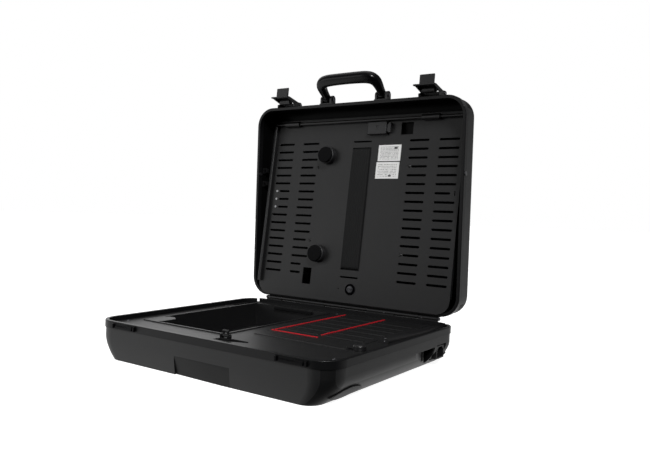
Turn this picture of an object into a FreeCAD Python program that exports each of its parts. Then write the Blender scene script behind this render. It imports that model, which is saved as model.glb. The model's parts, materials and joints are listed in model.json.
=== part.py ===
import FreeCAD, Part
import math
import os
from FreeCAD import Vector as V

# Open hard-shell equipment case, lid upright.  Millimetres, +Z up, front of the case at -Y.
# The origin is the centre of the base shell's flat underside.

# ---- driving dimensions -------------------------------------------------------------------------
CASE_W = 480.0          # outside width of both rims (X)
CASE_D = 400.0          # outside depth of base rim, and height of the open lid
BASE_H = 64.0           # base rim top above the underside
RIM_W = 6.0             # width of the rims' flat faces
RIM_H = 12.0            # height of both rim bands
CORNER_R = 38.0         # corner radius in plan
SET_IN = 1.5            # shells stand in from the rim bands by this much
WALL = 3.5              # shell wall
FLOOR = 3.0             # base floor
BEVEL_TOP = 38.0        # height where the base's side bevels begin
BEVEL_IN = 28.0         # bevel of the two sides at the underside
END_IN = 3.5            # lean of the front and back walls at the underside
DECK_Z = 56.0           # deck surface
DECK_T = 3.0
LID_DEPTH = 54.0        # rim plane to outside of the lid's back
LID_Y = 201.0           # rim plane of the open lid
LID_Z = 73.0            # underside of the open lid
HINGE_Y = 204.75        # hinge axis
HINGE_Z = 68.25
KNUCKLE_R = 4.0
HINGE_HALF = 200.0
PIN_R = 2.0
FIT = 0.05              # radial clearance of running fits
PANEL_Y = 197.0         # front face of the tilted panel at its lower edge
PANEL_Z = 77.0
PANEL_TILT = 7.5        # degrees the panel leans back inside the lid
PANEL_HALF = 222.0
PANEL_H = 376.0
PANEL_T = 2.0
LATCH_X = 166.0
LATCH_Y = 224.0         # latch pin
CATCH_X = (-165.0, 177.0)
LATCH_Z = 480.0
HANDLE_X = 64.0
HANDLE_Y = 211.0        # handle pin
HANDLE_Z = 483.0
HANDLE_LEAN = 48.0      # degrees the handle droops forward at rest

LID_TOP = LID_Z + CASE_D
LID_BACK = LID_Y + LID_DEPTH
HALF_W, HALF_D = CASE_W / 2, CASE_D / 2
X_AXIS, Y_AXIS, Z_AXIS = V(1, 0, 0), V(0, 1, 0), V(0, 0, 1)
PARTS = {}


# ---- helpers --------------------------------------------------------------------------------------
def box(x0, x1, y0, y1, z0, z1):
    return Part.makeBox(x1 - x0, y1 - y0, z1 - z0, V(x0, y0, z0))


def rod_x(x0, x1, y, z, r):
    return Part.makeCylinder(r, x1 - x0, V(x0, y, z), X_AXIS)


def rod_y(y0, y1, x, z, r):
    return Part.makeCylinder(r, y1 - y0, V(x, y0, z), Y_AXIS)


def rod_z(z0, z1, x, y, r):
    return Part.makeCylinder(r, z1 - z0, V(x, y, z0), Z_AXIS)


def join(shapes):
    shapes = list(shapes)
    out = shapes[0]
    if len(shapes) > 1:
        out = out.multiFuse(shapes[1:]).removeSplitter()
    return out


def cut(shape, tools):
    return shape.cut(join(tools)) if tools else shape


def group(shapes):
    return Part.makeCompound(list(shapes))


def along(edge, axis):
    a, b = edge.Vertexes[0].Point, edge.Vertexes[-1].Point
    d = b.sub(a)
    return d.Length > 1e-6 and abs(abs(d.normalize().dot(axis)) - 1) < 1e-6


def fillet(shape, r, test):
    edges = [e for e in shape.Edges if test(e)]
    return shape.makeFillet(r, edges)


def plan_block(hx, hy, r, z0, z1):
    """Rounded rectangle seen from above."""
    b = box(-hx, hx, -hy, hy, z0, z1)
    return fillet(b, r, lambda e: along(e, Z_AXIS))


def lid_block(hx, inset, r, y0, y1):
    """Rounded rectangle seen from the front, inset from the open lid's outline."""
    b = box(-hx, hx, y0, y1, LID_Z + inset, LID_TOP - inset)
    return fillet(b, r, lambda e: along(e, Y_AXIS))


def prism_x(points, x0, x1):
    wire = Part.makePolygon([V(x0, y, z) for y, z in points + points[:1]])
    return Part.Face(wire).extrude(V(x1 - x0, 0, 0))


def prism_y(points, y0, y1):
    wire = Part.makePolygon([V(x, y0, z) for x, z in points + points[:1]])
    return Part.Face(wire).extrude(V(0, y1 - y0, 0))


def prism_z(points, z0, z1):
    wire = Part.makePolygon([V(x, y, z0) for x, y in points + points[:1]])
    return Part.Face(wire).extrude(V(0, 0, z1 - z0))


def on_panel(shape):
    """Places a shape drawn flat (x, -out of the panel, up the panel) onto the tilted panel."""
    s = shape.copy()
    s.rotate(V(0, 0, 0), X_AXIS, -PANEL_TILT)
    s.translate(V(0, PANEL_Y, PANEL_Z))
    return s


def up_panel(z):
    """Distance up the panel of a point at height z."""
    return (z - PANEL_Z) / math.cos(math.radians(PANEL_TILT))


def panel_y(z):
    return PANEL_Y + (z - PANEL_Z) * math.tan(math.radians(PANEL_TILT))


def screw_y(x, y, z, r, head, shank_r, length):
    """Round-headed screw whose head faces the front at y and whose shank runs back."""
    return join([rod_y(y, y + head, x, z, r), rod_y(y + head, y + length, x, z, shank_r)])


def add(name, shape):
    PARTS[name] = shape


# ---- base shell -----------------------------------------------------------------------------------
SHELL_X, SHELL_Y = HALF_W - SET_IN, HALF_D - SET_IN
SHELL_TOP = BASE_H - RIM_H


def bevel(z):
    """Share of the full bevel at height z: none at its top, all of it at the underside."""
    return (max(0.0, BEVEL_TOP - z) / BEVEL_TOP) ** 1.8


def plan_wire(inset, z):
    """Outline of the base at height z, inset all round."""
    side = inset + BEVEL_IN * bevel(z)
    end = inset + END_IN * bevel(z)
    corner = CORNER_R - SET_IN - inset - 0.45 * BEVEL_IN * bevel(z)
    block = plan_block(SHELL_X - side, SHELL_Y - end, corner, z, z + 1)
    return min(block.Faces, key=lambda f: f.CenterOfMass.z).OuterWire


def base_body(inset, z0, z1):
    """Outer or inner form: rounded plan, deep curved bevels along both sides, nearly upright ends."""
    heights = [z0 + (BEVEL_TOP - z0) * i / 5 for i in range(6)]
    lower = Part.makeLoft([plan_wire(inset, z) for z in heights], True, False)
    upper = plan_block(SHELL_X - inset, SHELL_Y - inset, CORNER_R - SET_IN - inset, BEVEL_TOP, z1)
    return lower.fuse(upper)


INLET_Y, INLET_Z = 137.5, 25.0        # centre of the power inlet
INLET_FACE = 236.0
outside = base_body(0, 0, SHELL_TOP)
shell = outside.cut(base_body(WALL, FLOOR, SHELL_TOP + 1))
# thicker wall behind the inlet, with a scoop in front of it, and behind the front relief
pad = base_body(0.2, 0.2, SHELL_TOP)
pad = pad.common(group([box(213, 240, 26, 176, 1, 46), box(-62, 76, -200, -186, 1, 34)]))
shell = shell.fuse(pad)
scoop = prism_z([(246, 36), (238, 42), (220, 110), (220, 112), (246, 112)], -1, 37)
inlet_seat = box(224, 244, INLET_Y - 18.0, INLET_Y + 18.0, INLET_Z - 13.5, INLET_Z + 13.5)
inlet_hole = box(205, 230, INLET_Y - 14.5, INLET_Y + 14.5, INLET_Z - 11.0, INLET_Z + 11.0)
shell = cut(shell, [scoop, inlet_seat, inlet_hole])
# shallow relief low in the front wall, deepest at the bottom of its left edge
left_form = ((-206, 30), (-206, -2), (-191.6, -2), (-198.6, 30), (-206, 30))
right_form = ((-206, 30), (-206, -2), (-195.4, -2), (-198.6, 30), (-206, 30))
relief_left = Part.makePolygon([V(-50, y, z) for y, z in left_form])
relief_right = Part.makePolygon([V(64, y, z) for y, z in right_form])
shell = shell.cut(Part.makeLoft([relief_left, relief_right], True, True))
# posts that carry the deck, and stiffening ribs under it
POSTS = [(-218, -150), (-218, 96), (2, -176), (-4, 180), (212, -150), (222, 90)]
post_room = base_body(1.0, 1.0, DECK_Z - DECK_T)
posts = [rod_z(FLOOR, DECK_Z - DECK_T, x, y, 5.5).common(post_room) for x, y in POSTS]
shell = shell.fuse(posts[0])
for p in posts[1:]:
    shell = shell.fuse(p)
shell = cut(shell, [rod_z(28, DECK_Z, x, y, 1.7) for x, y in POSTS])
add("base_shell", shell.removeSplitter())

# ---- base rim -------------------------------------------------------------------------------------
rim = plan_block(HALF_W, HALF_D, CORNER_R, SHELL_TOP, BASE_H)
rim = rim.cut(plan_block(HALF_W - RIM_W, HALF_D - RIM_W, CORNER_R - RIM_W, SHELL_TOP - 1, BASE_H + 1))
relief = box(-226, 226, 190, 196.9, 57.0, BASE_H + 1)     # clears the panel's lower edge when shut
rim = rim.cut(relief)
rim = fillet(rim, 1.2,
             lambda e: abs(e.Vertexes[0].Z - BASE_H) < 0.01 and abs(e.Vertexes[1].Z - BASE_H) < 0.01
             and (abs(e.CenterOfMass.x) > HALF_W - 0.5 or abs(e.CenterOfMass.y + HALF_D) < 0.5))
add("base_rim", rim)

# ---- deck, bay and tray ---------------------------------------------------------------------------
BAY = (-203.0, -20.0, -122.0, 170.0)
TRAY = (12.0, 188.0, -85.0, 183.0)
TRAY_TOP = 57.2
RECESS = [(-5, -162), (22, -160), (54, -148), (50, -141), (17, -141), (17, -149), (-5, -149)]
LIP_SLOT = (-226.0, -209.0, 120.0, 189.0)
CLIP_X, CLIP_Y, CLIP_Z = 5.0, -143.5, 60.0
CAM_X, CAM_Y = 205.0, -74.0

deck = plan_block(HALF_W - RIM_W, HALF_D - RIM_W, CORNER_R - RIM_W, DECK_Z - DECK_T, DECK_Z)
deck = cut(deck, [box(BAY[0], BAY[1], BAY[2], BAY[3], 50, 60), box(*TRAY, 50, 60),
                  prism_z(RECESS, 50, 60), box(*LIP_SLOT, 50, 60)])
deck = cut(deck, [rod_z(50, 60, x, y, 1.7) for x, y in POSTS])
deck = deck.cut(rod_z(50, 60, CAM_X, CAM_Y, 3.0 + FIT))
# raised bead around the bay and along the deck's left side
bead = box(BAY[0] - 4, BAY[1] + 4, BAY[2] - 4, BAY[3] + 4, DECK_Z, DECK_Z + 1.6)
bead = bead.cut(box(*BAY, DECK_Z - 1, DECK_Z + 3))
deck = deck.fuse(bead).removeSplitter()
# well below the finger recess
well = prism_z([(-8, -165), (24, -163), (58, -150), (52, -138), (14, -138), (14, -146), (-8, -146)], 41,
               DECK_Z - DECK_T)
deck = deck.fuse(well.cut(prism_z(RECESS, 43, DECK_Z))).removeSplitter()
add("base_deck", deck)

tub = box(BAY[0] - 3, BAY[1] + 3, BAY[2] - 3, BAY[3] + 3, FLOOR + 4, DECK_Z - DECK_T)
tub = fillet(tub, 6.0, lambda e: along(e, Z_AXIS))
tub = tub.cut(box(BAY[0], BAY[1], BAY[2], BAY[3], FLOOR + 7, DECK_Z))
feet = [rod_z(FLOOR, FLOOR + 4, x, y, 6.0) for x in (-185, -40) for y in (-105, 150)]
ribs = [box(BAY[0] + 12, BAY[1] - 12, y - 1.5, y + 1.5, FLOOR + 7, FLOOR + 9)
        for y in (-90, -50, -10, 30, 70, 110)]
add("bay_tub", join([tub] + feet + ribs))
add("bay_foam_strip", box(-150, -56, BAY[3] - 6, BAY[3], 50.0, DECK_Z - 0.6))
tab = prism_z([(BAY[0], -122), (-176, -122), (-170, -112), (-170, -86), (-182, -76), (-196, -76),
               (-203, -84)], 51, DECK_Z + 1.6)
add("bay_corner_tab", tab.common(box(BAY[0], -160, BAY[2], -60, 50, 60)))
block = box(BAY[1] - 26, BAY[1], -26, 22, 26, 48)
sockets = [box(BAY[1] - 27, BAY[1] - 12, y - 7, y + 7, 32, 43) for y in (-15, 9)]
plug_nubs = [rod_z(48, 51, BAY[1] - 14, y, 4.0) for y in (-15, 9)]
add("bay_connector_block", join([cut(block, sockets)] + plug_nubs))

tx0, tx1, ty0, ty1 = TRAY
tray = box(tx0, tx1, ty0, ty1, 50.0, TRAY_TOP)
tray = fillet(tray, 1.0, lambda e: e.BoundBox.ZMin > TRAY_TOP - 0.1)
tray = tray.cut(box(tx0 + 3, tx1 - 3, ty0 + 3, ty1 - 3, 49.0, TRAY_TOP - 3))
tray_ribs = []
for i in range(6):
    y = -22 + 33 * i
    tray_ribs += [box(a, b, y - 3.5, y + 3.5, TRAY_TOP, TRAY_TOP + 0.7) for a, b in ((24, 96), (108, 180))]
tray_ribs = [fillet(r, 0.6, lambda e: e.BoundBox.ZMin > TRAY_TOP + 0.6) for r in tray_ribs]
add("paper_tray", join([tray] + tray_ribs))
add("red_guide_strips", group([box(17, 18.9, -38, 176, TRAY_TOP, TRAY_TOP + 1.2),
                               box(15, 109, -45, -43.1, TRAY_TOP, TRAY_TOP + 1.2),
                               box(101, 102.9, -24, 181, TRAY_TOP, TRAY_TOP + 1.2)]))

# half-round rail along the right side of the deck, lower towards the hinge
RAIL_X, RAIL_R = 204.0, 9.0
rail_y0, rail_y1 = -4.0, 178.0
rail_axis = V(0, rail_y1 - rail_y0, -7.6)
rail = Part.makeCylinder(RAIL_R, rail_axis.Length + 20, V(RAIL_X, rail_y0 - 10, 58.3), rail_axis)
rail = rail.common(box(RAIL_X - 10, RAIL_X + 10, rail_y0, rail_y1, DECK_Z, 70))
RAIL_SCREWS = ((207.0, 63.6), (207.0, 59.2))
rail = cut(rail, [rod_y(rail_y0 - 1, rail_y0 + 4, x, z, 0.7) for x, z in RAIL_SCREWS])
add("side_rail", rail)
add("side_rail_screws",
    group([join([rod_y(rail_y0 - 0.9, rail_y0, x, z, 1.4), rod_y(rail_y0, rail_y0 + 4, x, z, 0.7)])
                               for x, z in RAIL_SCREWS]))
add("deck_screws", group([join([rod_z(DECK_Z, DECK_Z + 1.4, x, y, 3.4), rod_z(30, DECK_Z, x, y, 1.7)])
                          for x, y in POSTS]))
bracket = join([box(213, 227, 158, 181, DECK_Z, DECK_Z + 2), box(213, 215.5, 162, 177, DECK_Z, 59.8)])
add("rear_corner_bracket", bracket)

# hold-down clip at the front right of the bay: ears, pin and swinging clip
ears = [prism_x([(CLIP_Y - 5, DECK_Z), (CLIP_Y + 4, DECK_Z), (CLIP_Y + 4, 61), (CLIP_Y + 1, 63),
                 (CLIP_Y - 3, 63), (CLIP_Y - 5, 61)], x, x + 2.0) for x in (CLIP_X - 8.5, CLIP_X + 6.5)]
foot = box(CLIP_X - 8.5, CLIP_X + 8.5, CLIP_Y - 5, CLIP_Y + 4, DECK_Z, DECK_Z + 1)
clip_hole = rod_x(CLIP_X - 20, CLIP_X + 20, CLIP_Y, CLIP_Z, 1.2)
add("clip_bracket", join(ears + [foot]).cut(clip_hole))
add("clip_pin", rod_x(CLIP_X - 9.2, CLIP_X + 9.2, CLIP_Y, CLIP_Z, 1.2))
arm = join([rod_x(CLIP_X - 6.1, CLIP_X + 6.1, CLIP_Y, CLIP_Z, 2.4),
            box(CLIP_X - 6.1, CLIP_X + 6.1, CLIP_Y - 1.2, CLIP_Y + 1.2, CLIP_Z, 67.0),
            rod_x(CLIP_X - 6.1, CLIP_X + 6.1, CLIP_Y, 67.0, 2.0)])
arm = arm.cut(box(CLIP_X - 2.4, CLIP_X + 2.4, CLIP_Y - 4, CLIP_Y + 4, 63.0, 65.4))
add("hold_down_clip", arm.cut(rod_x(CLIP_X - 20, CLIP_X + 20, CLIP_Y, CLIP_Z, 1.2 + FIT)))

# turn button that keeps a sheet tray cover down
knob = fillet(rod_z(DECK_Z + 0.3, DECK_Z + 9.0, CAM_X, CAM_Y, 10.0), 3.2,
              lambda e: e.BoundBox.ZMin > DECK_Z + 8)
cam = join([knob, rod_z(DECK_Z - 6, DECK_Z + 1, CAM_X, CAM_Y, 3.0),
            rod_z(DECK_Z - 6, DECK_Z - 3.4, CAM_X, CAM_Y, 5.0),
            box(CAM_X - 21.0, CAM_X, CAM_Y - 3.5, CAM_Y + 3.5, TRAY_TOP + 0.3, TRAY_TOP + 2.3)])
cam = cam.cut(box(CAM_X - 5.5, CAM_X + 5.5, CAM_Y - 0.8, CAM_Y + 0.8, DECK_Z + 8.0, DECK_Z + 10))
add("tray_cam_latch", cam)

# ---- power inlet and supply -----------------------------------------------------------------------
iy0, iy1, iz0, iz1 = INLET_Y - 17.9, INLET_Y + 17.9, INLET_Z - 13.4, INLET_Z + 13.4
inlet = box(224.0, 227.0, iy0, iy1, iz0, iz1)
inlet = inlet.fuse(box(206.0, 224.0, INLET_Y - 14.4, INLET_Y + 14.4, INLET_Z - 10.9, INLET_Z + 10.9))
inlet = inlet.fuse(box(227.0, INLET_FACE, INLET_Y - 14.4, INLET_Y + 14.4, INLET_Z - 10.9, INLET_Z + 10.9))
socket = prism_x([(INLET_Y - 12.2, INLET_Z - 8.6), (INLET_Y + 12.2, INLET_Z - 8.6),
                  (INLET_Y + 12.2, INLET_Z + 3.5), (INLET_Y + 6.5, INLET_Z + 8.6),
                  (INLET_Y - 6.5, INLET_Z + 8.6), (INLET_Y - 12.2, INLET_Z + 3.5)],
                 212.0, INLET_FACE + 1)
add("power_inlet", inlet.cut(socket).removeSplitter())
add("power_inlet_pins",
    group([box(212.0, 228.0, INLET_Y + dy - 1.0, INLET_Y + dy + 1.0, INLET_Z + dz - 2.0, INLET_Z + dz + 2.0)
                               for dy, dz in ((-7.0, -1.5), (0.0, 2.5), (7.0, -1.5))]))
psu = box(70, 190, 70, 176, FLOOR, 40)
psu = fillet(psu, 3.0, lambda e: along(e, Z_AXIS))
fins = [box(78 + 9 * i, 81 + 9 * i, 78, 168, 40, 43.5) for i in range(12)]
add("power_supply", join([psu] + fins))

# ---- feet -----------------------------------------------------------------------------------------
def side_foot(side, y, z, r, offset):
    """Lens-shaped pad hugging a side bevel: two arcs of radius r, their centres offset above and below."""
    skin = base_body(-2.4, 0.4, SHELL_TOP).cut(outside)
    lens = Part.makeCylinder(r, 70.0, V(180, y, z - offset), X_AXIS)
    lens = lens.common(Part.makeCylinder(r, 70.0, V(180, y, z + offset), X_AXIS))
    if side < 0:
        lens = lens.mirror(V(0, 0, 0), X_AXIS)
    return skin.common(lens)


add("side_feet", group([side_foot(side, *form) for side in (-1, 1)
                        for form in ((-138.0, 11.0, 90.0, 80.6), (184.0, 9.5, 70.0, 63.5))]))


# ---- latch catches on the base rim ----------------------------------------------------------------
def catch(cx):
    plate = box(cx - 27, cx + 27, -201.5, -200, 54.3, 62.8)
    bar = box(cx - 20, cx + 20, -203.5, -201.5, 54.3, 58.0)
    lugs = [box(cx + s * 25.5 - 1.5, cx + s * 25.5 + 1.5, -204.2, -201.5, 54.3, 61.0) for s in (-1, 1)]
    step = box(cx + 6, cx + 20, -202.6, -201.5, 58.0, 61.0)
    return join([plate, bar, step] + lugs)


add("latch_catch_left", catch(CATCH_X[0]))
add("latch_catch_right", catch(CATCH_X[1]))

# ---- hinge ----------------------------------------------------------------------------------------
SEAMS = [-HINGE_HALF, -160.0, -110.0, -50.0, 50.0, 110.0, 160.0, HINGE_HALF]
BASE_SEG = [(SEAMS[i], SEAMS[i + 1]) for i in (0, 2, 4, 6)]
LID_SEG = [(SEAMS[i], SEAMS[i + 1]) for i in (1, 3, 5)]
GAP = 0.25
base_leaf = [box(-HINGE_HALF, HINGE_HALF, 200.0, 202.2, SHELL_TOP + 0.5, 64.0)]
for a, b in BASE_SEG:
    base_leaf += [rod_x(a + GAP, b - GAP, HINGE_Y, HINGE_Z, KNUCKLE_R),
                  box(a + GAP, b - GAP, 200.9, HINGE_Y, 62.0, 66.0)]
# shelves behind the lid's knuckles
base_leaf += [box(a - 1, b + 1, 200.0, 209.5, 62.0, 63.9) for a, b in LID_SEG]
PIN_SCREWS = (-192.0, 89.0, 168.0)
leaf = join(base_leaf).cut(rod_x(-210, 210, HINGE_Y, HINGE_Z, PIN_R))
LEAF_SCREWS = (-180.0, -100.0, -20.0, 60.0, 140.0, 190.0)
leaf = cut(leaf, [rod_y(199, 204, x, 57.0, 1.6) for x in LEAF_SCREWS])
leaf = cut(leaf, [rod_y(200, 202, x, HINGE_Z, 1.0) for x in PIN_SCREWS])
add("hinge_base_leaf", leaf)
add("hinge_base_screws", group([join([rod_y(202.2, 203.6, x, 57.0, 3.0), rod_y(200.0, 202.2, x, 57.0, 1.6)])
                                for x in LEAF_SCREWS]))
add("hinge_pin_screws",
    group([join([rod_y(200.5, 200.75, x, HINGE_Z, 1.7), rod_y(200.75, 202.0, x, HINGE_Z, 1.0)])
                               for x in PIN_SCREWS]))
pin = [rod_x(-HINGE_HALF - 1.0, HINGE_HALF + 1.0, HINGE_Y, HINGE_Z, PIN_R)]
pin += [rod_x(s * (HINGE_HALF + 1.5) - 1.0, s * (HINGE_HALF + 1.5) + 1.0, HINGE_Y, HINGE_Z, 3.0)
        for s in (-1, 1)]
add("hinge_pin", join(pin))
lid_leaf = [box(-HINGE_HALF, HINGE_HALF, 209.4, 226.0, 71.0, LID_Z)]
lid_leaf += [box(-HINGE_HALF, HINGE_HALF, 213.0, 226.0, LID_Z, LID_Z + SET_IN)]
for a, b in LID_SEG:
    lid_leaf += [rod_x(a + GAP, b - GAP, HINGE_Y, HINGE_Z, KNUCKLE_R),
                 box(a + GAP, b - GAP, HINGE_Y, 209.6, 69.6, LID_Z)]
lid_leaf = join(lid_leaf).cut(rod_x(-210, 210, HINGE_Y, HINGE_Z, PIN_R + FIT))
lid_leaf = cut(lid_leaf, [rod_z(70, 76, x, 219.5, 1.6) for x in LEAF_SCREWS])
add("hinge_lid_leaf", lid_leaf)
add("hinge_lid_screws",
    group([join([rod_z(69.6, 71.0, x, 219.5, 3.0), rod_z(71.0, LID_Z + SET_IN, x, 219.5, 1.6)])
                               for x in LEAF_SCREWS]))

# ---- lid rim and shell ----------------------------------------------------------------------------
lid_rim = lid_block(HALF_W, 0, CORNER_R, LID_Y, LID_Y + RIM_H)
lid_rim = lid_rim.cut(lid_block(HALF_W - RIM_W, RIM_W, CORNER_R - RIM_W, LID_Y - 1, LID_Y + RIM_H + 1))
lid_rim = fillet(lid_rim, 1.2,
                 lambda e: abs(e.Vertexes[0].Y - LID_Y) < 0.01 and abs(e.Vertexes[1].Y - LID_Y) < 0.01
                 and (abs(e.CenterOfMass.x) > HALF_W - 0.5 or e.CenterOfMass.z > LID_TOP - 0.5))
SIDE_RIVET_Z, SIDE_RIVET_Y = 332.0, 208.0
lid_rim = lid_rim.cut(rod_x(-245, 245, SIDE_RIVET_Y, SIDE_RIVET_Z, 2.5))
add("lid_rim", lid_rim)
outer = lid_block(HALF_W - SET_IN, SET_IN, CORNER_R - SET_IN, LID_Y + RIM_H, LID_BACK)
outer = fillet(outer, 17.0,
               lambda e: abs(e.Vertexes[0].Y - LID_BACK) < 0.01 and abs(e.Vertexes[1].Y - LID_BACK) < 0.01)
inner = lid_block(HALF_W - SET_IN - WALL, SET_IN + WALL, CORNER_R - SET_IN - WALL, LID_Y, LID_BACK - WALL)
inner = fillet(inner, 13.5, lambda e: abs(e.Vertexes[0].Y - LID_BACK + WALL) < 0.01
               and abs(e.Vertexes[1].Y - LID_BACK + WALL) < 0.01)
lid_shell = outer.cut(inner)
BACK_PANEL = box(-150, 150, LID_BACK - 1.0, LID_BACK + 5, 170, 376)   # shallow sunk field outside
lid_shell = lid_shell.cut(fillet(BACK_PANEL, 12.0, lambda e: along(e, Y_AXIS)))
ROD_Y, ROD_Z = 239.4, 441.0
rod_boss = [join([rod_x(s * 229.0 - 6.2, s * 229.0 + 6.2, ROD_Y, ROD_Z, 6.0)]) for s in (-1, 1)]
lid_shell = join([lid_shell] + rod_boss)
lid_shell = lid_shell.cut(rod_x(-230, 230, ROD_Y, ROD_Z, 3.0))
add("lid_shell", lid_shell)
right_head = rod_x(239.0, 241.3, SIDE_RIVET_Y, SIDE_RIVET_Z, 4.2).cut(box(230, 240, 200, 220, 320, 340))
add("lid_side_rivets", group([join([right_head,
                                    rod_x(234, 240, SIDE_RIVET_Y, SIDE_RIVET_Z, 2.5),
                                    rod_x(232.8, 234, SIDE_RIVET_Y, SIDE_RIVET_Z, 4.2)]),
                              join([rod_x(-241.3, -240.0, SIDE_RIVET_Y, SIDE_RIVET_Z, 4.2),
                                    rod_x(-240, -234, SIDE_RIVET_Y, SIDE_RIVET_Z, 2.5),
                                    rod_x(-234, -232.8, SIDE_RIVET_Y, SIDE_RIVET_Z, 4.2)])]))


def cable_clip(z):
    plate = box(-235, -233.0, 216, 228, z - 6, z + 6)
    hook = join([box(-233, -226, 218, 226, z + 3, z + 5.5), box(-228.5, -226, 218, 226, z - 3, z + 5.5)])
    return join([plate, hook])


add("lid_cable_clips", group([cable_clip(340.0), cable_clip(312.0)]))

# ---- tilted device panel --------------------------------------------------------------------------
COLUMNS = ((-208.0, -167.0), (-143.0, -102.0), (111.0, 152.0), (173.0, 214.0))
ROWS, ROW_STEP, ROW_TOP, SLOT_H = 17, 17.02, up_panel(398.0), 4.4
RIVET_ROWS = (6, 7, 8)
STRAP_X, STRAP_W = 5.0, 41.0
STRAP_LO, STRAP_HI = up_panel(145.0), up_panel(383.0)
QT_X, QT_V = 11.0, up_panel(104.0)
BOX_X0, BOX_X1, BOX_V0, BOX_V1 = 18.0, 61.0, up_panel(411.0), up_panel(436.0)
SCREW_AT = ((-99.0, 3), (-100.0, 12), (114.0, 3), (114.0, 13))
SLOTTED_SHORT = {(1, 3): (0, 9), (1, 12): (0, 8), (2, 3): (8, 0), (2, 13): (8, 0)}


def row_v(i):
    return ROW_TOP - i * ROW_STEP


def slot_tool(x0, x1, v, h):
    r = h / 2
    return join([box(x0 + r, x1 - r, -1, PANEL_T + 1, v - r, v + r),
                 Part.makeCylinder(r, PANEL_T + 2, V(x0 + r, -1, v), Y_AXIS),
                 Part.makeCylinder(r, PANEL_T + 2, V(x1 - r, -1, v), Y_AXIS)])


plate = box(-PANEL_HALF, PANEL_HALF, 0, PANEL_T, 0, PANEL_H)
plate = fillet(plate, 26.0, lambda e: along(e, Y_AXIS) and e.Vertexes[0].Z < 1)
tools = []
for c, (x0, x1) in enumerate(COLUMNS):
    for i in range(ROWS):
        a, b = SLOTTED_SHORT.get((c, i), (0, 0))
        if c == 0 and i in RIVET_ROWS:
            a = 14
        if c == 1 and i >= ROWS - 2:
            b = 14
        if c == 3 and i == 6:
            b = 10
        tools.append(slot_tool(x0 + a, x1 - b, row_v(i), SLOT_H))
tools += [box(212.0, 214.0, -1, 4, row_v(6) - 4, row_v(6) + 4)]
tools += [slot_tool(STRAP_X - 21, STRAP_X + 21, v, 3.2) for v in (STRAP_LO - 18, STRAP_HI + 16)]
tools += [box(STRAP_X - 21.5, STRAP_X + 21.5, -1, 4, v - 2.2, v + 2.2)
          for v in (STRAP_LO - 1.6, STRAP_HI + 1.6)]
tools += [box(-108, -87, -1, 4, up_panel(106.0), up_panel(139.0)),
          box(90, 116, -1, 4, up_panel(410.0), up_panel(434.0))]
tools += [Part.makeCylinder(5.0 + FIT, 6, V(QT_X, -1, QT_V), Y_AXIS),
          Part.makeCylinder(1.3, 6, V(-17, -1, up_panel(104.0)), Y_AXIS)]
tools += [Part.makeCylinder(1.5, 6, V(x, -1, row_v(r)), Y_AXIS) for x, r in SCREW_AT]
tools += [Part.makeCylinder(1.6, 6, V(-200.0, -1, row_v(r)), Y_AXIS) for r in RIVET_ROWS]
plate = plate.cut(Part.makeCompound(tools))
# folded edges: a shallow return behind the right and top edges
returns = [box(PANEL_HALF - 1.6, PANEL_HALF, PANEL_T, 8.0, 30, PANEL_H - 70),
           box(-200, 200, PANEL_T, 4.0, PANEL_H - 1.6, PANEL_H)]
add("device_panel", on_panel(join([plate] + returns)))

lip = prism_x([(-8.5, PANEL_H - 4), (0, PANEL_H - 4), (0, 26), (-7.0, 26), (-8.5, 40)], -PANEL_HALF,
              -PANEL_HALF + 8.0)
lip = fillet(lip, 3.0, lambda e: along(e, Z_AXIS) and e.Vertexes[0].Y < -8)
add("panel_edge_lip", on_panel(lip).cut(rod_x(-230, -210, ROD_Y, ROD_Z, 3.0)))
add("panel_rod", rod_x(-230, 230, ROD_Y, ROD_Z, 3.0))
sleeve = [rod_x(a, b, ROD_Y, ROD_Z, 5.6).cut(rod_x(a - 1, b + 1, ROD_Y, ROD_Z, 3.0))
          .cut(on_panel(box(-200, 200, 0, 10, 300, PANEL_H))) for a, b in ((-192, -154), (136, 173))]
web_v = up_panel(441.0)
webs = [on_panel(box(a + 4, b - 4, -4.4, 0, web_v - 2.6, web_v + 2.6)).cut(rod_x(a, b, ROD_Y, ROD_Z, 4.6))
        for a, b in ((-192, -154), (136, 173))]
add("panel_rod_sleeves", group([join([s, w]) for s, w in zip(sleeve, webs)]))

lbox = box(BOX_X0, BOX_X1, -9.0, 0, BOX_V0, BOX_V1)
lbox = fillet(lbox, 1.5, lambda e: e.BoundBox.YMin < -8.9 and e.BoundBox.YMax < -8.5)
keyway = box(BOX_X1 - 14, BOX_X1 + 1, -6.6, -2.4, BOX_V0 + 5.0, BOX_V1 - 5.0)
key_mark = join([box(38, 43.5, -10, -8.2, up_panel(420.0), up_panel(428.0))])
key_mark = key_mark.cut(box(40, 44, -10, -8, up_panel(422.0), up_panel(426.0)))
add("panel_latch_box", on_panel(cut(lbox, [keyway, key_mark])))
slider = join([box(BOX_X1 - 8, BOX_X1 + 4, -6.3, -2.7, BOX_V0 + 5.3, BOX_V1 - 5.3),
               box(BOX_X1 + 4, BOX_X1 + 9, -8.0, -0.5, BOX_V0 + 3.0, BOX_V1 - 3.0)])
add("panel_latch_slider", on_panel(slider))

BUMPERS = ((-74.0, up_panel(371.0)), (-74.0, up_panel(169.0)))
bump = [Part.makeCylinder(18.0, 12.0, V(x, -12.0, v), Y_AXIS) for x, v in BUMPERS]
bump = [fillet(b, 2.0, lambda e: e.BoundBox.YMax < -11.9) for b in bump]
add("bumpers", group([on_panel(b) for b in bump]))
add("bumper_pads",
    group([on_panel(Part.makeCylinder(16.5, 6.0, V(x, -18.0, v), Y_AXIS)) for x, v in BUMPERS]))

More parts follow.
